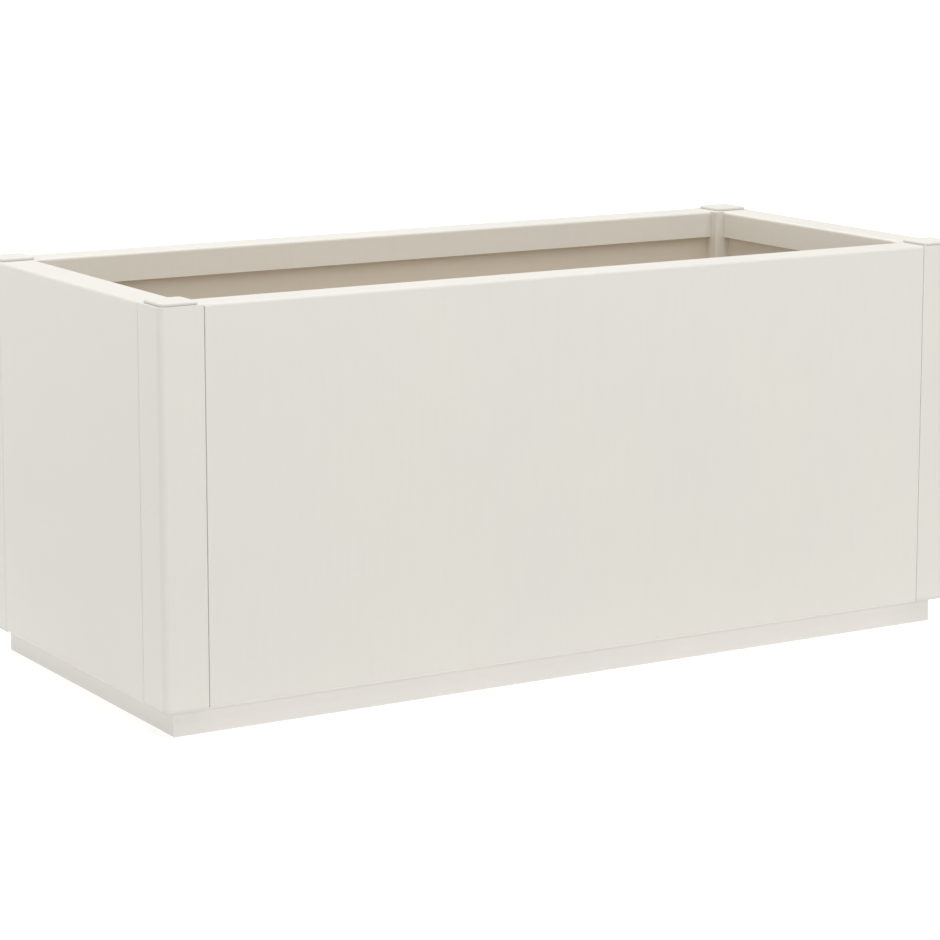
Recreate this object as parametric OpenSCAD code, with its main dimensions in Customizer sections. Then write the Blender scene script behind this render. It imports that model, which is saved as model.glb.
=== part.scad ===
// Versailles planter: a rectangular trough of painted sheet metal with four corner posts.
// Folded outer panels sit flush between the posts, with a shadow joint beside each post.
// Their tops turn in as a rail with a hanging lip, over inner walls that hold the soil.
// The body stands on a recessed plinth. Origin: centre of the footprint, on the ground.
// +X runs along the length, +Y to the back, +Z up. Millimetres.

/* [Overall] */
// Length over the corner posts
planter_length = 1000; // [600:10:1600]
// Width over the corner posts
planter_width = 452; // [320:2:800]
// Height from the ground to the top of the rim
rim_height = 440; // [260:5:900]

/* [Corner posts] */
// Side of the square post
post_size = 55; // [48:1:80]
// Wall of the hollow post
post_wall = 3; // [2:0.5:4]
// Radius of the post's outer vertical edge
post_corner_radius = 7; // [2:0.5:12]
// Radius of the post's small edges
post_edge_radius = 1; // [0.5:0.25:1.5]
// Width of the shadow joint between post and panel
joint_gap = 0.5; // [0.5:0.5:4]
// How far a panel laps over the post behind it
panel_lap = 5; // [3:0.5:7]

/* [Post caps] */
// Side of the square cap head
cap_size = 42; // [30:1:48]
// Thickness of the cap head
cap_head = 3; // [2.5:0.5:6]
// Height of the shadow gap under the cap head
cap_gap = 0.5; // [0.5:0.5:4]
// How far the head oversails its neck
cap_overhang = 1; // [0.5:0.5:5]
// Corner radius of the cap head in plan
cap_corner_radius = 5; // [3:0.5:8]
// Radius round the cap head's top edge
cap_edge_radius = 2; // [0.5:0.25:2.25]
// Thickness of the plate that closes the post
cap_plate = 3; // [2:0.5:6]
// Depth of the skirt inside the post
cap_skirt_depth = 18; // [8:1:40]
// Wall of the skirt
cap_skirt_wall = 2; // [1:0.5:4]
// Clearance of the cap inside the post
cap_fit = 0.15; // [0.05:0.05:0.4]

/* [Outer panels] */
// Thickness of the outer sheet
panel_sheet = 2.5; // [1.5:0.5:4]
// Inside radius of the folds
fold_radius = 0.6; // [0.3:0.1:2]
// Width of the top rail
rail_width = 44; // [40:1:60]
// Height of the lip that hangs from the rail
lip_height = 31; // [12:1:60]
// Width of the flange folded in at the bottom
bottom_flange = 40; // [30:1:60]
// Radius of the panel's end edges
panel_edge_radius = 0.8; // [0.4:0.1:1.4]

/* [Inner walls] */
// Thickness of the inner sheet
wall_sheet = 2; // [1:0.5:3]
// Distance from the outer face to the inner wall's face
wall_depth = 36; // [32:0.5:38]
// Width of the flanges at the wall's top and bottom
wall_flange = 18; // [10:1:24]

/* [Bottom frame] */
// Width of the frame tubes
frame_width = 40; // [36:1:60]
// Height of the frame tubes
frame_height = 30; // [20:1:50]
// Wall of the frame tubes
frame_wall = 2; // [1.5:0.5:4]
// Outer edge radius of the frame tubes
frame_edge_radius = 3; // [1:0.5:5]
// Gap between the outer sheet and the frame tubes
frame_gap = 0.5; // [0.3:0.1:1]

/* [Floor] */
// Thickness of the floor sheet
floor_sheet = 3; // [2:0.5:6]
// Clearance of the floor round the posts
floor_gap = 0.5; // [0.3:0.1:2]
// How far the floor runs out past the inner wall's flange
floor_margin = 1; // [0.5:0.5:3]
// Diameter of the drain holes
drain_diameter = 18; // [8:1:30]
// Drain holes between two bearers
drain_columns = 2; // [1:1:4]
// Rows of drain holes
drain_rows = 2; // [1:1:4]

/* [Plinth] */
// Height of the plinth
plinth_height = 30; // [20:1:80]
// Setback of the plinth from the body
plinth_inset = 17.5; // [8:0.5:22]
// Width of the plinth tubes
plinth_width = 40; // [38:1:60]
// Wall of the plinth tubes
plinth_wall = 2; // [1.5:0.5:4]
// Outer edge radius of the plinth tubes
plinth_edge_radius = 2; // [1:0.5:4]

/* [Post feet] */
// Thickness of the plate in the foot of each post
foot_plate = 6; // [4:1:12]
// Shank diameter of the foot bolt
bolt_diameter = 8; // [6:1:10]
// Hexagon of the foot bolt, across the flats
bolt_hex = 13; // [10:1:15]
// Height of the foot bolt's head
bolt_head = 5.3; // [3:0.1:8]
// How far the foot bolt stands out of its plate
bolt_tip = 5; // [1:1:15]
// Clearance round the foot bolt's shank, each side
bolt_gap = 0.4; // [0.2:0.1:1]

/* [Plinth screws] */
// Shank diameter of the screws that hold plinth, panel and frame together
screw_diameter = 5; // [4:0.5:6]
// Head diameter of these screws
screw_head_diameter = 9.5; // [8:0.5:12]
// Head height of these screws
screw_head = 3.2; // [2:0.1:5]
// How far the screws stand out inside the frame tube
screw_tip = 6; // [2:1:12]
// Clearance round the screw's shank, each side
screw_gap = 0.25; // [0.15:0.05:0.6]
// Screws along the front and along the back
long_screws = 5; // [2:1:9]
// Screws along each end
short_screws = 3; // [2:1:6]
// Distance from a post to the first screw
screw_margin = 45; // [25:5:90]
// Clearance for the driver round a head, each side
driver_gap = 2; // [1:0.5:4]

/* [Panel brackets] */
// Leg of the angle brackets
bracket_leg = 20; // [16:1:24]
// Thickness of the brackets
bracket_sheet = 2.5; // [1.5:0.5:4]
// Height of each bracket
bracket_height = 32; // [20:1:60]
// Distance of the brackets from the floor and from the rim
bracket_margin = 90; // [60:5:110]
// Diameter of the weld studs on the panels
stud_diameter = 5; // [4:1:6]
// Length of the weld studs
stud_length = 12; // [10:1:16]
// Nut on a stud, across the flats
nut_hex = 8; // [7:1:10]
// Height of the nut
nut_height = 4; // [2:0.5:5]
// Shank diameter of the rivets in the posts
rivet_diameter = 4.8; // [3:0.2:5]
// Head diameter of the rivets
rivet_head_diameter = 9; // [6:0.5:10]
// Head height of the rivets
rivet_head = 1.4; // [0.8:0.2:3]
// Clearance round studs and rivets, each side
rivet_gap = 0.2; // [0.1:0.05:0.5]

/* [Hidden] */
$fn = 48;

// Colours of the finish as it looks from outside, and of bare metal
paint = [0.90, 0.88, 0.84];
paint_inside = [0.82, 0.78, 0.71];
bare_metal = [0.66, 0.67, 0.68];

// Sides of the planter, counted as front, back, left and right
FRONT = 0;
BACK = 1;
LEFT = 2;
RIGHT = 3;
SIDES = [FRONT, BACK, LEFT, RIGHT];
side_turn = [0, 180, -90, 90];
side_depth = [planter_width / 2, planter_width / 2, planter_length / 2, planter_length / 2];
side_length = [planter_length, planter_length, planter_width, planter_width];
screws_on_side = [long_screws, long_screws, short_screws, short_screws];
CORNERS = [[-1, -1], [1, -1], [-1, 1], [1, 1]];

// Margin by which a cutting shape runs past the face that it cuts
past = 1;

// The post: its visible face, and the step behind the panel's edge
post_face = post_size - panel_lap - joint_gap;
post_bore_start = panel_sheet + post_wall;
post_bore_end = post_size - post_wall;

// Levels above the ground
frame_bottom = plinth_height + panel_sheet;
floor_bottom = frame_bottom + frame_height;
floor_top = floor_bottom + floor_sheet;
wall_top = rim_height - panel_sheet;

// Height of the posts and of the outer panels
body_height = rim_height - plinth_height;

// Distances in from the outer face
frame_start = panel_sheet + frame_gap;
frame_end = frame_start + frame_width;
floor_start = wall_depth - wall_flange - floor_margin;
plinth_end = plinth_inset + plinth_width;

// The plinth screws pass through the middle of what they hold together
screw_zone_start = max(plinth_inset + plinth_wall, frame_start + frame_wall);
screw_zone_end = min(plinth_end - plinth_wall, frame_end - frame_wall, bottom_flange);
screw_line = (screw_zone_start + screw_zone_end) / 2;

// The foot bolt clears the plinth's outer wall and the post's inner wall
bolt_head_radius = bolt_hex / sqrt(3);
bolt_side_gap = 1;
bolt_across = plinth_inset + plinth_wall + bolt_head_radius + bolt_side_gap;
bolt_along = post_bore_end - bolt_head_radius - bolt_side_gap;

// The brackets' two levels, at their middles
bracket_levels = [floor_top + bracket_margin, rim_height - bracket_margin];

// Studs and rivets stand clear of the bracket's edge and of its fold
fixing_margin = 1.25;
stud_along = post_size + bracket_leg - nut_hex / sqrt(3) - fixing_margin;
rivet_across = panel_sheet + bracket_sheet + rivet_head_diameter / 2 + fixing_margin;
rivet_spread = bracket_height / 4;
rivet_tail = 2;

// The bearers part the clear length between the posts into equal bays
bearer_places = [-1, 0, 1];
bays = len(bearer_places) + 1;
bay_pitch = (planter_length - 2 * post_size) / bays;

// Places the children, drawn along X with +Y pointing in, on one side of the planter
module on_side(side) {
    rotate([0, 0, side_turn[side]])
        translate([0, -side_depth[side], 0])
            children();
}

// Places the children, drawn with X and Y pointing in from the corner, at one corner
module at_corner(side_x, side_y) {
    translate([side_x * planter_length / 2, side_y * planter_width / 2, 0])
        mirror([side_x > 0 ? 1 : 0, 0, 0])
            mirror([0, side_y > 0 ? 1 : 0, 0])
                children();
}

// Extrudes a profile, drawn as depth and height, along X and centred on it
module along_side(run) {
    rotate([90, 0, 90])
        linear_extrude(height = run, center = true)
            children();
}

// What a rounded edge takes off the corner at the origin of the first quadrant
module round_off(radius) {
    difference() {
        translate([-past, -past])
            square(radius + past);
        translate([radius, radius])
            circle(radius);
    }
}

// A rectangle with rounded corners, its lower left corner at the origin
module rounded_rectangle(size_x, size_y, radius) {
    translate([radius, 0])
        square([size_x - 2 * radius, size_y]);
    translate([0, radius])
        square([size_x, size_y - 2 * radius]);
    for (x = [radius, size_x - radius], y = [radius, size_y - radius])
        translate([x, y])
            circle(radius);
}

// The section of a rectangular tube
module tube_section(width, height, wall, radius) {
    difference() {
        rounded_rectangle(width, height, radius);
        translate([wall, wall])
            square([width - 2 * wall, height - 2 * wall]);
    }
}

// A fold of sheet in the corner at the origin, turning from +Y to +X
module fold(sheet) {
    outer = sheet + fold_radius;
    intersection() {
        square(outer);
        translate([outer, outer])
            difference() {
                circle(outer);
                circle(fold_radius);
            }
    }
}

// Positions of the screws along a side
function screw_places(side) =
    let (
        first = -side_length[side] / 2 + post_size + screw_margin,
        count = screws_on_side[side]
    )
    [for (i = [0 : count - 1]) first - 2 * first * i / (count - 1)];

// Places the children at each screw of a side
module at_screws(side) {
    for (x = screw_places(side))
        translate([x, screw_line, 0])
            children();
}

// Places the children at each bracket: both ends of every panel, at two levels
module at_brackets() {
    for (corner = CORNERS, swap = [0, 1], level = bracket_levels)
        at_corner(corner[0], corner[1])
            translate([0, 0, level])
                mirror([swap, -swap, 0])
                    children();
}

// ---- Corner posts ----

module post_section() {
    difference() {
        square(post_size);
        translate([post_face, -past])
            square([post_size, panel_sheet + past]);
        translate([-past, post_face])
            square([panel_sheet + past, post_size]);
        difference() {
            translate([post_wall, post_wall])
                square(post_bore_end - post_wall);
            translate([post_face - post_wall, -past])
                square([post_size, post_bore_start + past]);
            translate([-past, post_face - post_wall])
                square([post_bore_start + past, post_size]);
        }
        round_off(post_corner_radius);
        translate([post_face, 0])
            mirror([1, 0])
                round_off(post_edge_radius);
        translate([0, post_face])
            mirror([0, 1])
                round_off(post_edge_radius);
        translate([post_size, post_size])
            rotate(180)
                round_off(post_edge_radius);
    }
}

module corner_post(side_x, side_y) {
    color(paint)
        at_corner(side_x, side_y)
            difference() {
                translate([0, 0, plinth_height])
                    linear_extrude(height = body_height)
                        post_section();
                for (swap = [0, 1], level = bracket_levels)
                    translate([0, 0, level])
                        mirror([swap, -swap, 0])
                            rivet_holes(post_bore_end);
            }
}

// ---- Post caps ----

// The depth profile of the cap head, from its middle line out to its rounded edge
module cap_head_half(reach) {
    square([reach, cap_head - cap_edge_radius]);
    square([reach - cap_edge_radius, cap_head]);
    translate([reach - cap_edge_radius, cap_head - cap_edge_radius])
        intersection() {
            circle(cap_edge_radius);
            square(cap_edge_radius);
        }
}

module cap_head_solid() {
    straight = cap_size - 2 * cap_corner_radius;
    for (turn = [0, 90])
        rotate([0, 0, turn])
            along_side(straight) {
                cap_head_half(cap_size / 2);
                mirror([1, 0])
                    cap_head_half(cap_size / 2);
            }
    for (x = [-1, 1], y = [-1, 1])
        translate([x * straight / 2, y * straight / 2, 0])
            rotate_extrude()
                cap_head_half(cap_corner_radius);
}

module post_cap(side_x, side_y) {
    neck = cap_size - 2 * cap_overhang;
    skirt_start = post_bore_start + cap_fit;
    skirt_size = post_bore_end - cap_fit - skirt_start;
    plate_start = post_wall + cap_fit;
    plate_size = post_bore_end - cap_fit - plate_start;
    step_start = post_face - post_wall - cap_fit;
    color(paint)
        at_corner(side_x, side_y)
            translate([0, 0, rim_height])
                union() {
                    translate([post_face / 2, post_face / 2, cap_gap])
                        cap_head_solid();
                    translate([post_face / 2, post_face / 2, cap_gap / 2])
                        cube([neck, neck, cap_gap], center = true);
                    translate([0, 0, -cap_plate])
                        linear_extrude(height = cap_plate)
                            difference() {
                                translate([plate_start, plate_start])
                                    square(plate_size);
                                translate([step_start, -past])
                                    square([post_size, skirt_start + past]);
                                translate([-past, step_start])
                                    square([skirt_start + past, post_size]);
                            }
                    translate([skirt_start, skirt_start, -cap_plate - cap_skirt_depth])
                        linear_extrude(height = cap_skirt_depth)
                            difference() {
                                square(skirt_size);
                                translate([cap_skirt_wall, cap_skirt_wall])
                                    square(skirt_size - 2 * cap_skirt_wall);
                            }
                }
}

// ---- Outer panels ----

module outer_panel_section() {
    outer = panel_sheet + fold_radius;
    translate([0, outer])
        square([panel_sheet, body_height - 2 * outer]);
    translate([outer, body_height - panel_sheet])
        square([rail_width - 2 * outer, panel_sheet]);
    translate([rail_width - panel_sheet, body_height - lip_height])
        square([panel_sheet, lip_height - outer]);
    translate([outer, 0])
        square([bottom_flange - outer, panel_sheet]);
    fold(panel_sheet);
    translate([0, body_height])
        mirror([0, 1])
            fold(panel_sheet);
    translate([rail_width, body_height])
        rotate(180)
            fold(panel_sheet);
}

module outer_panel(side) {
    run = side_length[side] - 2 * (post_size - panel_lap);
    color(paint)
        on_side(side)
            difference() {
                translate([0, 0, plinth_height])
                    along_side(run)
                        outer_panel_section();
                for (end = [-1, 1])
                    translate([end * (run / 2 + past), 0, 0])
                        mirror([end > 0 ? 1 : 0, 0, 0])
                            translate([0, panel_sheet, plinth_height - past])
                                cube([panel_lap + past, rail_width + bottom_flange,
                                      body_height + 2 * past]);
                for (end = [-1, 1])
                    translate([end * run / 2, 0, plinth_height - past])
                        mirror([end > 0 ? 1 : 0, 0, 0])
                            linear_extrude(height = body_height + 2 * past)
                                round_off(panel_edge_radius);
                at_screws(side)
                    screw_hole();
            }
}

// ---- Inner walls ----

module inner_wall_section() {
    outer = wall_sheet + fold_radius;
    height = wall_top - floor_top;
    translate([-wall_sheet, outer])
        square([wall_sheet, height - 2 * outer]);
    for (level = [0, height - wall_sheet])
        translate([-wall_flange, level])
            square([wall_flange - outer, wall_sheet]);
    mirror([1, 0])
        fold(wall_sheet);
    translate([0, height])
        rotate(180)
            fold(wall_sheet);
}

module inner_wall(side) {
    color(paint_inside)
        on_side(side)
            translate([0, wall_depth, floor_top])
                along_side(side_length[side] - 2 * post_size)
                    inner_wall_section();
}

// ---- Bottom frame ----

module bottom_rail(side) {
    color(paint_inside)
        on_side(side)
            difference() {
                translate([0, frame_start, frame_bottom])
                    along_side(side_length[side] - 2 * post_size)
                        tube_section(frame_width, frame_height, frame_wall, frame_edge_radius);
                at_screws(side)
                    screw_hole();
            }
}

module floor_bearer(place) {
    color(paint_inside)
        translate([bearer_places[place] * bay_pitch, 0, frame_bottom])
            rotate([0, 0, 90])
                translate([0, -frame_width / 2, 0])
                    along_side(planter_width - 2 * frame_end)
                        tube_section(frame_width, frame_height, frame_wall, frame_edge_radius);
}

// ---- Floor ----

module floor_sheet_drained() {
    floor_length = planter_length - 2 * floor_start;
    floor_width = planter_width - 2 * floor_start;
    notch = post_size + floor_gap;
    row_pitch = (planter_width - 2 * frame_end) / (drain_rows + 1);
    column_pitch = (bay_pitch - frame_width) / drain_columns;
    hole_places = [
        for (bay = [1 : bays], column = [1 : drain_columns], row = [1 : drain_rows]) [
            (bay - (bays + 1) / 2) * bay_pitch + (column - (drain_columns + 1) / 2) * column_pitch,
            (row - (drain_rows + 1) / 2) * row_pitch
        ]
    ];
    color(paint_inside)
        translate([0, 0, floor_bottom])
            difference() {
                translate([-floor_length / 2, -floor_width / 2, 0])
                    cube([floor_length, floor_width, floor_sheet]);
                for (corner = CORNERS)
                    at_corner(corner[0], corner[1])
                        translate([-past, -past, -past])
                            cube([notch + past, notch + past, floor_sheet + 2 * past]);
                for (place = hole_places)
                    translate([place[0], place[1], -past])
                        cylinder(h = floor_sheet + 2 * past, d = drain_diameter);
            }
}

// ---- Plinth ----

module plinth_rail(side) {
    half = side_length[side] / 2 - plinth_inset;
    color(paint)
        on_side(side)
            difference() {
                intersection() {
                    translate([0, plinth_inset, 0])
                        along_side(2 * half)
                            tube_section(plinth_width, plinth_height, plinth_wall,
                                         plinth_edge_radius);
                    linear_extrude(height = plinth_height)
                        polygon([
                            [-half, plinth_inset],
                            [half, plinth_inset],
                            [half - plinth_width, plinth_end],
                            [plinth_width - half, plinth_end]
                        ]);
                }
                at_screws(side) {
                    screw_hole();
                    driver_hole(screw_head_diameter / 2 + driver_gap);
                }
                if (side == FRONT || side == BACK)
                    for (end = [-1, 1])
                        translate([end * (side_length[side] / 2 - bolt_along), bolt_across, 0]) {
                            cylinder(h = plinth_height + past, r = bolt_diameter / 2 + bolt_gap);
                            driver_hole(bolt_head_radius + driver_gap);
                        }
            }
}

// The way in for a driver, through the plinth tube's lower wall only
module driver_hole(radius) {
    translate([0, 0, -past])
        cylinder(h = plinth_wall + 2 * past, r = radius);
}

// ---- Fixings ----

// Clearance hole through plinth, panel flange and frame tube
module screw_hole() {
    translate([0, 0, plinth_height / 2])
        cylinder(h = plinth_height / 2 + panel_sheet + frame_wall + past,
                 r = screw_diameter / 2 + screw_gap);
}

// The head of each screw bears up on the underside of the plinth tube's upper wall
module plinth_screws() {
    seat = plinth_height - plinth_wall;
    color(bare_metal)
        for (side = SIDES)
            on_side(side)
                at_screws(side) {
                    translate([0, 0, seat - screw_head])
                        cylinder(h = screw_head, d = screw_head_diameter);
                    translate([0, 0, seat - screw_head / 2])
                        cylinder(h = screw_head / 2 + plinth_wall + panel_sheet + frame_wall + screw_tip,
                                 d = screw_diameter);
                }
}

module post_foot_plates() {
    start = post_bore_start + cap_fit;
    size = post_bore_end - cap_fit - start;
    color(bare_metal)
        for (corner = CORNERS)
            at_corner(corner[0], corner[1])
                difference() {
                    translate([start, start, plinth_height])
                        cube([size, size, foot_plate]);
                    translate([bolt_along, bolt_across, plinth_height - past])
                        cylinder(h = foot_plate + 2 * past, r = bolt_diameter / 2 + bolt_gap);
                }
}

module post_foot_bolts() {
    seat = plinth_height - plinth_wall;
    color(bare_metal)
        for (corner = CORNERS)
            at_corner(corner[0], corner[1])
                translate([bolt_along, bolt_across, seat]) {
                    translate([0, 0, -bolt_head])
                        cylinder(h = bolt_head, r = bolt_head_radius, $fn = 6);
                    translate([0, 0, -bolt_head / 2])
                        cylinder(h = bolt_head / 2 + plinth_wall + foot_plate + bolt_tip,
                                 d = bolt_diameter);
                }
}

// Places the children, drawn along X, at both rivets of a bracket
module at_rivets(along) {
    for (spread = [-1, 1])
        translate([along, rivet_across, spread * rivet_spread])
            rotate([0, 90, 0])
                children();
}

module rivet_holes(along) {
    at_rivets(along - past)
        cylinder(h = post_wall + bracket_sheet + 2 * past, r = rivet_diameter / 2 + rivet_gap);
}

// Where a bracket's stud leaves the back of the outer sheet, along +Y
module at_stud() {
    translate([stud_along, panel_sheet, 0])
        rotate([-90, 0, 0])
            children();
}

module panel_brackets() {
    color(bare_metal)
        at_brackets()
            difference() {
                translate([post_size, panel_sheet, -bracket_height / 2])
                    difference() {
                        cube([bracket_leg, bracket_leg, bracket_height]);
                        translate([bracket_sheet, bracket_sheet, -past])
                            cube([bracket_leg, bracket_leg, bracket_height + 2 * past]);
                    }
                rivet_holes(post_bore_end);
                at_stud()
                    cylinder(h = bracket_sheet + past, r = stud_diameter / 2 + rivet_gap);
            }
}

module bracket_rivets() {
    color(bare_metal)
        at_brackets() {
            at_rivets(post_bore_end - rivet_tail)
                cylinder(h = rivet_tail + post_wall + bracket_sheet + rivet_head / 2,
                         d = rivet_diameter);
            at_rivets(post_size + bracket_sheet)
                cylinder(h = rivet_head, d = rivet_head_diameter);
        }
}

module panel_studs() {
    color(bare_metal)
        at_brackets()
            at_stud()
                cylinder(h = stud_length, d = stud_diameter);
}

module stud_nuts() {
    color(bare_metal)
        at_brackets()
            at_stud()
                translate([0, 0, bracket_sheet])
                    difference() {
                        cylinder(h = nut_height, r = nut_hex / sqrt(3), $fn = 6);
                        translate([0, 0, -past])
                            cylinder(h = nut_height + 2 * past, r = stud_diameter / 2 + rivet_gap);
                    }
}

corner_post(-1, -1);  // corner_post_front_left
corner_post(1, -1);  // corner_post_front_right
corner_post(-1, 1);  // corner_post_back_left
corner_post(1, 1);  // corner_post_back_right
post_cap(-1, -1);  // post_cap_front_left
post_cap(1, -1);  // post_cap_front_right
post_cap(-1, 1);  // post_cap_back_left
post_cap(1, 1);  // post_cap_back_right
outer_panel(FRONT);  // outer_panel_front
outer_panel(BACK);  // outer_panel_back
outer_panel(LEFT);  // outer_panel_left
outer_panel(RIGHT);  // outer_panel_right
inner_wall(FRONT);  // inner_wall_front
inner_wall(BACK);  // inner_wall_back
inner_wall(LEFT);  // inner_wall_left
inner_wall(RIGHT);  // inner_wall_right
bottom_rail(FRONT);  // bottom_rail_front
bottom_rail(BACK);  // bottom_rail_back
bottom_rail(LEFT);  // bottom_rail_left
bottom_rail(RIGHT);  // bottom_rail_right
floor_bearer(0);  // floor_bearer_left
floor_bearer(1);  // floor_bearer_centre
floor_bearer(2);  // floor_bearer_right
floor_sheet_drained();
plinth_rail(FRONT);  // plinth_rail_front
plinth_rail(BACK);  // plinth_rail_back
plinth_rail(LEFT);  // plinth_rail_left
plinth_rail(RIGHT);  // plinth_rail_right
post_foot_plates();
post_foot_bolts();
plinth_screws();
panel_brackets();
bracket_rivets();
panel_studs();
stud_nuts();
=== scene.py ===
"""Looks of the versailles planter: satin off-white paint on folded sheet, plain pale floor, soft
studio light and the photograph's camera. Metres, +X along the length, +Y to the back, +Z up."""
import math

import bpy
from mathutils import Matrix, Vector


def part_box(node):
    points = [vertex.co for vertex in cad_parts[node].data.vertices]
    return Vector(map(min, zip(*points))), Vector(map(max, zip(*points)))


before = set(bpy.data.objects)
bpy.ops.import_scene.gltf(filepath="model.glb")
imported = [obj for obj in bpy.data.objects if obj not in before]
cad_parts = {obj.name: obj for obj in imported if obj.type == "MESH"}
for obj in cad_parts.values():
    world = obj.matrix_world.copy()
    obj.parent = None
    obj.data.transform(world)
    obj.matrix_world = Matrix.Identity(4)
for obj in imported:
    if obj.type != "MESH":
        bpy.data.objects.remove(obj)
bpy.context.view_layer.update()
scene = bpy.context.scene

# ---- Camera: fitted to the photograph's edges, and pitched so that it needs little shift ----

FRAME_PIXELS = 940
FOCAL_PIXELS = 3213.0
SENSOR_WIDTH_MM = 36.0
CAMERA_PLACE = (-1.8345, -3.0441, 0.8875)
CAMERA_YAW = math.radians(30.93)     # turned from +Y towards +X
CAMERA_PITCH = math.radians(9.41)    # below the horizon
CAMERA_SHIFT = -0.1                  # of the frame's width
CAMERA_REACH = 200.0

# ---- Colours, as scene-linear values ----

# The plinth's two paints were chosen for the likeness: painted light on the long rails, painted
# shade on the end rails.
PAINT = (0.765, 0.742, 0.690)
# The inside paint is darker and warmer than the outer: painted shade and painted warm bounce
# light of the box's inside.
PAINT_INSIDE_SHADED = (0.734, 0.677, 0.588)
PAINT_LIT_LONG_PLINTH = (0.816, 0.791, 0.760)
PAINT_SHADED_END_PLINTH = (0.745, 0.723, 0.690)
ALUMINIUM = (0.62, 0.63, 0.64)
STEEL = (0.56, 0.56, 0.57)
FLOOR = (0.90, 0.90, 0.90)
WHITE = (1.0, 1.0, 1.0)

# ---- Light: an even white studio, and softboxes that stand off and turn to the planter ----

STUDIO_STRENGTH = 0.53
DIFFUSE_BOUNCES = 8
SOFTBOX_DISTANCE = 5.0
SOFTBOX_AIM = (0.0, 0.0, 0.2)
# The azimuth runs from +X towards +Y. Both angles are in degrees.
SOFTBOXES = {
    "overhead_softbox": dict(azimuth=0, elevation=90, width=4.0, height=4.0, watts=99.0),
    "back_softbox": dict(azimuth=75, elevation=50, width=3.0, height=3.0, watts=58.0),
    "front_softbox": dict(azimuth=-61, elevation=50, width=3.0, height=3.0, watts=40.0),
    "left_softbox": dict(azimuth=-121, elevation=58, width=3.0, height=3.0, watts=19.0),
    "low_softbox": dict(azimuth=115, elevation=12, width=3.2, height=1.6, watts=23.0),
}

# ---- Floor: matt white, and lit from below ----

HALF_FLOOR = 40.0
FLOOR_CLOUD_SCALE = 3.0
FLOOR_TONES = (0.995, 1.005)
FLOOR_ROUGHNESS = 0.9
FLOOR_SPECULAR = 0.2

# The glow is faint all over, stronger beside the plinth, and strongest far off as a white sweep.
# Under the planter there is none. Distances are from the plinth.
TABLE_GLOW = 0.06
FOOT_GLOW = 0.40
FOOT_GLOW_END = 0.25
SWEEP_GLOW = 0.52
SWEEP_GLOW_START = 1.0
SWEEP_GLOW_FULL = 3.0
PLINTH_COVER = 0.01    # the glow dies away over this width under the plinth

# ---- Grain and other marks: scales are features per metre, and heights are in metres ----

NOISE_MIDDLE = (0.3, 0.7)    # most of a noise's values lie between these
ACROSS_GRAIN = 260.0
ALONG_GRAIN = 16.0
GRAIN_SCALE = {
    "X": (ALONG_GRAIN, ACROSS_GRAIN, ACROSS_GRAIN),
    "Y": (ACROSS_GRAIN, ALONG_GRAIN, ACROSS_GRAIN),
    "Z": (ACROSS_GRAIN, ACROSS_GRAIN, ALONG_GRAIN),
}
CLOUD_SCALE = 7.0
PEEL_SCALE = 950.0
STREAK_HEIGHT = 0.00006
PEEL_HEIGHT = 0.000035

METAL_ALONG_GRAIN = 40.0
METAL_PATCH_SCALE = 60.0
METAL_LINE_HEIGHT = 0.00004

# ---- Tones and gloss: a tone is a factor on the colour's brightness ----

STREAK_TONES = (0.992, 1.008)
CLOUD_TONES = (0.992, 1.008)
CLOUD_TINT = (1.006, 1.0, 0.985)
CLOUD_ROUGHNESS = (0.40, 0.46)
STREAK_ROUGHNESS = (0.0, 0.06)    # added to the clouds'
PAINT_SPECULAR = 0.45

METAL_LINE_TONES = (0.94, 1.05)
METAL_PATCH_TONES = (0.93, 1.04)
METAL_PATCH_ROUGHNESS = (-0.06, 0.08)    # added to the metal's own

# Edges are rubbed a little lighter, unevenly.
EDGE_RADIUS = 0.0016
EDGE_SAMPLES = 6
EDGE_TURN = (0.75, 0.995)    # the turn's cosine on a sharp edge and on a flat
EDGE_WEAR = (0.10, 0.45)
WORN_TONE = 1.07

# ---- Fades: the tone goes from the first to the last between two places ----

# Painted shade: the dark line where the body's overhang shades the plinth is painted as a darker
# band on the body's lower edge and on the plinth's top. The places are heights.
PAINTED_SHADE_TONE = 0.90
PLINTH_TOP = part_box("plinth_rail_front")[1][2]
BODY_PAINTED_SHADE = dict(start=PLINTH_TOP + 0.0008, end=PLINTH_TOP + 0.0040, first=PAINTED_SHADE_TONE, last=1.0)
PLINTH_PAINTED_SHADE = dict(start=PLINTH_TOP - 0.0080, end=PLINTH_TOP - 0.0055, first=1.0, last=PAINTED_SHADE_TONE)

# Painted light: inside the turned-in rim the paint is lighter, to brighten the lips and the
# posts' inner faces. The places are distances outside the opening.
PAINTED_RIM_LIGHT_TONE = 1.09
RAIL_WIDTH = 0.044
PLANTER_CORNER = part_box("outer_panel_left")[0][0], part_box("outer_panel_front")[0][1]
OPENING_CORNER = [side + RAIL_WIDTH for side in PLANTER_CORNER]
PAINTED_RIM_LIGHT = dict(start=0.0005, end=0.0030, first=PAINTED_RIM_LIGHT_TONE, last=1.0)


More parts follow.
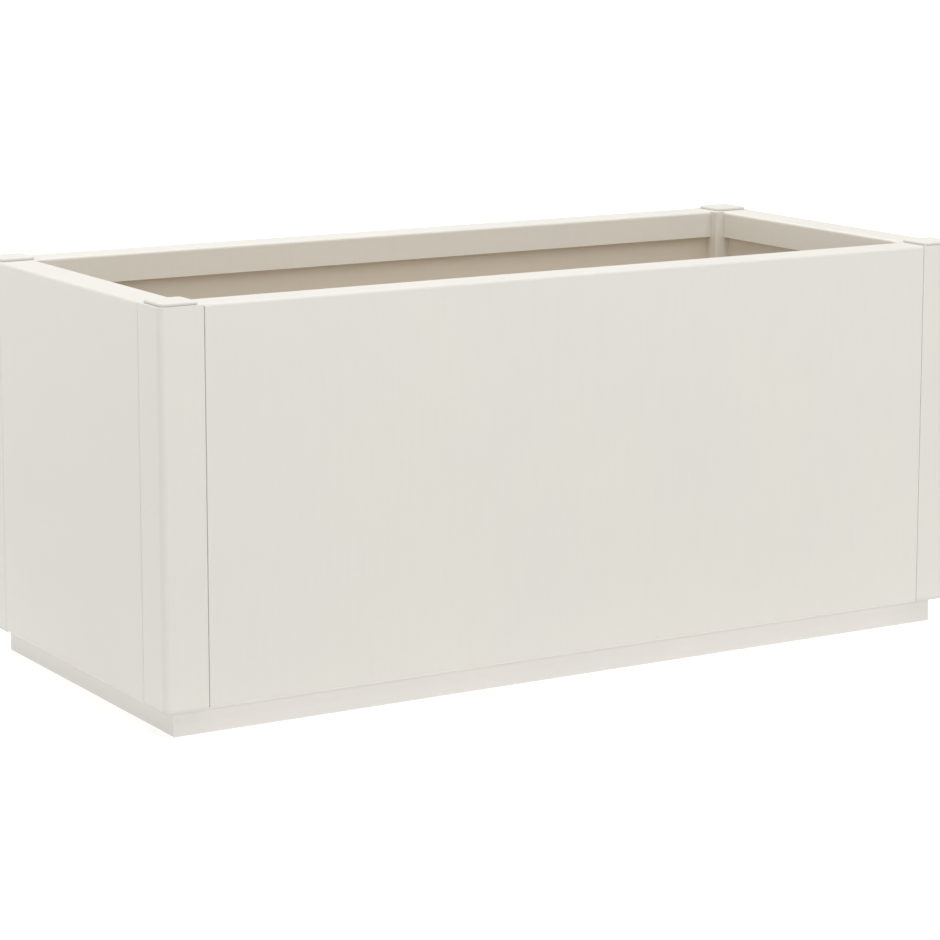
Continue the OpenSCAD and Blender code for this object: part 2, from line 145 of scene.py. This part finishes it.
class Shader:
    """A material under construction: makes nodes, links them and sets their values."""

    def __init__(self, name):
        self.material = bpy.data.materials.new(name)
        self.material.use_nodes = True
        self.tree = self.material.node_tree
        self.surface = self.tree.nodes["Principled BSDF"]

    def fill(self, node, inputs):
        """Links each input to the socket it is given, or sets it to the value."""
        for name, value in inputs.items():
            if isinstance(value, bpy.types.NodeSocket):
                self.tree.links.new(value, node.inputs[name])
            else:
                node.inputs[name].default_value = value

    def node(self, kind, inputs=None, **settings):
        made = self.tree.nodes.new("ShaderNode" + kind)
        for name, value in settings.items():
            setattr(made, name, value)
        self.fill(made, inputs or {})
        return made

    def noise(self, place, scale, detail=3.0, roughness=0.5):
        inputs = {"Vector": place, "Scale": scale, "Detail": detail, "Roughness": roughness}
        return self.node("TexNoise", inputs).outputs["Fac"]

    def placed(self, scale=(1, 1, 1), offset=(0, 0, 0)):
        """The point's place on the planter or the floor, scaled and moved."""
        place = self.node("TexCoord").outputs["Object"]
        made = self.node("Mapping", {"Vector": place, "Location": offset, "Scale": scale})
        return made.outputs["Vector"]

    def math(self, operation, first, second):
        return self.node("Math", {0: first, 1: second}, operation=operation).outputs[0]

    def vector_math(self, operation, *vectors):
        made = self.node("VectorMath", dict(enumerate(vectors)), operation=operation)
        return made.outputs["Value" if operation == "DOT_PRODUCT" else "Vector"]

    def spread(self, value, results, sources=NOISE_MIDDLE):
        """Stretches the values between the two sources to between the two results."""
        made = self.node("MapRange", {
            "Value": value, "From Min": sources[0], "From Max": sources[1],
            "To Min": results[0], "To Max": results[1],
        })
        return made.outputs["Result"]

    def brighten(self, colour, tone):
        made = self.node("HueSaturation", {"Value": tone, "Color": colour})
        return made.outputs["Color"]

    def fade(self, colour, place, start, end, first, last):
        return self.brighten(colour, self.spread(place, (first, last), (start, end)))

    def mix(self, factor, first, second):
        made = self.node("Mix", {0: factor, 6: first, 7: second}, data_type="RGBA")
        return made.outputs[2]

    def bump(self, height, distance, normal=None):
        inputs = {"Height": height, "Distance": distance, "Strength": 1.0}
        if normal is not None:
            inputs["Normal"] = normal
        return self.node("Bump", inputs).outputs["Normal"]


def rgba(colour):
    return (*colour, 1.0)


def edge_mask(shader):
    """1 on the pieces' edges and 0 on their flats, from how far an edge's rounding turns."""
    rounded = shader.node("Bevel", {"Radius": EDGE_RADIUS}, samples=EDGE_SAMPLES)
    flat = shader.node("NewGeometry")
    turn = shader.vector_math("DOT_PRODUCT", rounded.outputs["Normal"], flat.outputs["Normal"])
    return shader.spread(turn, (1.0, 0.0), EDGE_TURN)


def distance_outside(shader, corner):
    """How far a point lies outside the rectangle round the origin with this corner, along X or
    along Y, whichever is more."""
    mirrored = shader.vector_math("ABSOLUTE", shader.placed())
    beyond = shader.vector_math("SUBTRACT", mirrored, (-corner[0], -corner[1], 0.0))
    parts = shader.node("SeparateXYZ", {0: beyond}).outputs
    return shader.math("MAXIMUM", parts["X"], parts["Y"])


def painted(name, colour, grain, offset, painted_shade=BODY_PAINTED_SHADE, painted_rim_light=False):
    """Satin paint: soft clouds, faint marks along the grain, orange peel and rubbed edges, with
    painted shade in a band at the heights given, and where asked, painted light that makes it
    lighter inside the rim. Each paint has an offset of its own, so that no two have the same
    marks."""
    shader = Shader(name)
    along = shader.placed(GRAIN_SCALE[grain], offset)
    even = shader.placed(offset=offset)
    streaks = shader.noise(along, 1.0, detail=4.0, roughness=0.6)
    clouds = shader.noise(even, CLOUD_SCALE, detail=2.0)
    peel = shader.noise(even, PEEL_SCALE, detail=1.0)
    edges = edge_mask(shader)

    tone = shader.math("MULTIPLY", shader.spread(streaks, STREAK_TONES),
                       shader.spread(clouds, CLOUD_TONES))
    tint = [part * change for part, change in zip(colour, CLOUD_TINT)]
    tinted = shader.mix(shader.spread(clouds, (0.0, 1.0)), rgba(colour), rgba(tint))
    coat = shader.brighten(tinted, tone)
    wear = shader.math("MULTIPLY", edges, shader.spread(streaks, EDGE_WEAR))
    worn = shader.mix(wear, coat, rgba([part * WORN_TONE for part in colour]))
    # Painted shade: a darker band at the heights given, along the body's lower edge or the
    # plinth's top.
    height = shader.node("SeparateXYZ", {0: shader.placed()}).outputs["Z"]
    painted_shade_and_light = shader.fade(worn, height, **painted_shade)
    # Painted light: lighter paint inside the rim, on the lips and the posts' inner faces.
    if painted_rim_light:
        away = distance_outside(shader, OPENING_CORNER)
        painted_shade_and_light = shader.fade(painted_shade_and_light, away, **PAINTED_RIM_LIGHT)

    roughness = shader.math("ADD", shader.spread(clouds, CLOUD_ROUGHNESS),
                            shader.spread(streaks, STREAK_ROUGHNESS))
    grained = shader.bump(streaks, STREAK_HEIGHT)
    shader.fill(shader.surface, {
        "Base Color": painted_shade_and_light,
        "Roughness": roughness,
        "Specular IOR Level": PAINT_SPECULAR,
        "Normal": shader.bump(peel, PEEL_HEIGHT, grained),
    })
    return shader.material


def bare_metal(name, colour, roughness, across_grain):
    """Bare metal with fine drawing lines along Y and patches of duller skin."""
    shader = Shader(name)
    along = shader.placed((across_grain, METAL_ALONG_GRAIN, across_grain))
    lines = shader.noise(along, 1.0)
    patches = shader.noise(shader.placed(), METAL_PATCH_SCALE)
    tone = shader.math("MULTIPLY", shader.spread(lines, METAL_LINE_TONES),
                       shader.spread(patches, METAL_PATCH_TONES))
    duller = [roughness + change for change in METAL_PATCH_ROUGHNESS]
    shader.fill(shader.surface, {
        "Base Color": shader.brighten(rgba(colour), tone),
        "Metallic": 1.0,
        "Roughness": shader.spread(patches, duller),
        "Normal": shader.bump(lines, METAL_LINE_HEIGHT),
    })
    return shader.material


def studio_floor(name):
    """Matt white with the faintest tone in it, lit from below beside the plinth and far off."""
    shader = Shader(name)
    tone = shader.spread(shader.noise(shader.placed(), FLOOR_CLOUD_SCALE), FLOOR_TONES)
    away = distance_outside(shader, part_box("plinth_rail_front")[0])
    near = shader.spread(away, (TABLE_GLOW + FOOT_GLOW, TABLE_GLOW), (0.0, FOOT_GLOW_END))
    far = shader.spread(away, (0.0, SWEEP_GLOW), (SWEEP_GLOW_START, SWEEP_GLOW_FULL))
    uncovered = shader.spread(away, (0.0, 1.0), (-PLINTH_COVER, 0.0))
    shader.fill(shader.surface, {
        "Base Color": shader.brighten(rgba(FLOOR), tone),
        "Roughness": FLOOR_ROUGHNESS,
        "Specular IOR Level": FLOOR_SPECULAR,
        "Emission Color": rgba(WHITE),
        "Emission Strength": shader.math("MULTIPLY", shader.math("ADD", near, far), uncovered),
    })
    return shader.material


# ---- Finishes: which nodes each one covers, by the start of the node's name ----

FINISHES = {
    ("corner_post",):
        painted("post_paint", PAINT, "Z", (0.31, 1.70, 0.20), painted_rim_light=True),
    ("post_cap",):
        painted("cap_paint", PAINT, "X", (5.20, 0.40, 1.10)),
    ("outer_panel",):
        painted("panel_paint", PAINT, "Z", (0.0, 0.0, 0.0), painted_rim_light=True),
    # Lit and shaded copies of one paint for the plinth, each with painted shade below the body's
    # edge.
    ("plinth_rail_front", "plinth_rail_back"):
        painted("lit_long_plinth_paint", PAINT_LIT_LONG_PLINTH, "X", (2.2, 3.1, 0.7), PLINTH_PAINTED_SHADE),
    ("plinth_rail_left", "plinth_rail_right"):
        painted("shaded_end_plinth_paint", PAINT_SHADED_END_PLINTH, "Y", (1.2, 4.1, 0.9), PLINTH_PAINTED_SHADE),
    ("inner_wall",):
        painted("wall_paint", PAINT_INSIDE_SHADED, "Z", (7.7, 2.3, 1.9)),
    ("bottom_rail", "floor_bearer"):
        painted("frame_paint", PAINT_INSIDE_SHADED, "X", (3.3, 1.4, 2.6)),
    ("floor_sheet",):
        painted("floor_paint", PAINT_INSIDE_SHADED, "X", (4.5, 0.8, 3.2)),
    ("post_foot_plates", "panel_brackets", "panel_studs", "bracket_rivets"):
        bare_metal("mill_aluminium_skin", ALUMINIUM, 0.38, 900.0),
    ("post_foot_bolts", "plinth_screws", "stud_nuts"):
        bare_metal("stainless_skin", STEEL, 0.28, 1500.0),
}


def dress_nodes():
    for starts, material in FINISHES.items():
        for name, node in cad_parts.items():
            if name.startswith(starts):
                for slot in node.material_slots:
                    slot.material = material


def add_floor():
    low, high = -HALF_FLOOR, HALF_FLOOR
    corners = [(low, low, 0), (high, low, 0), (high, high, 0), (low, high, 0)]
    mesh = bpy.data.meshes.new("studio_floor")
    mesh.from_pydata(corners, [], [(0, 1, 2, 3)])
    mesh.materials.append(studio_floor("studio_floor"))
    floor = bpy.data.objects.new("studio_floor", mesh)
    scene.collection.objects.link(floor)


def turned_along(direction):
    """Euler angles that turn a lamp's -Z along the direction."""
    x, y, z = direction
    return (math.atan2(math.hypot(x, y), -z), 0.0, math.atan2(-x, y))


def add_softbox(name, azimuth, elevation, width, height, watts):
    """A softbox that stands off in the given direction, turned to the planter."""
    light = bpy.data.lights.new(name, "AREA")
    light.shape = "RECTANGLE"
    light.size = width
    light.size_y = height
    light.energy = watts
    holder = bpy.data.objects.new(name, light)
    turn = math.radians(azimuth)
    rise = math.radians(elevation)
    away = (math.cos(rise) * math.cos(turn), math.cos(rise) * math.sin(turn), math.sin(rise))
    holder.location = [aim + SOFTBOX_DISTANCE * part for aim, part in zip(SOFTBOX_AIM, away)]
    holder.rotation_euler = turned_along([-part for part in away])
    holder.visible_camera = False
    scene.collection.objects.link(holder)


def add_light():
    world = bpy.data.worlds.new("studio")
    world.use_nodes = True
    background = world.node_tree.nodes["Background"]
    background.inputs["Color"].default_value = rgba(WHITE)
    background.inputs["Strength"].default_value = STUDIO_STRENGTH
    scene.world = world
    for name, settings in SOFTBOXES.items():
        add_softbox(name, **settings)


def add_camera():
    camera = bpy.data.cameras.new("photo_camera")
    camera.sensor_width = SENSOR_WIDTH_MM
    camera.lens = FOCAL_PIXELS / FRAME_PIXELS * SENSOR_WIDTH_MM
    camera.shift_y = CAMERA_SHIFT
    camera.clip_end = CAMERA_REACH
    holder = bpy.data.objects.new("photo_camera", camera)
    holder.location = CAMERA_PLACE
    holder.rotation_euler = (math.pi / 2 - CAMERA_PITCH, 0.0, -CAMERA_YAW)
    scene.collection.objects.link(holder)
    scene.camera = holder


def set_colour_and_light_paths():
    scene.view_settings.view_transform = "Standard"
    scene.view_settings.look = "None"
    scene.cycles.diffuse_bounces = DIFFUSE_BOUNCES


dress_nodes()
add_floor()
add_light()
add_camera()
set_colour_and_light_paths()
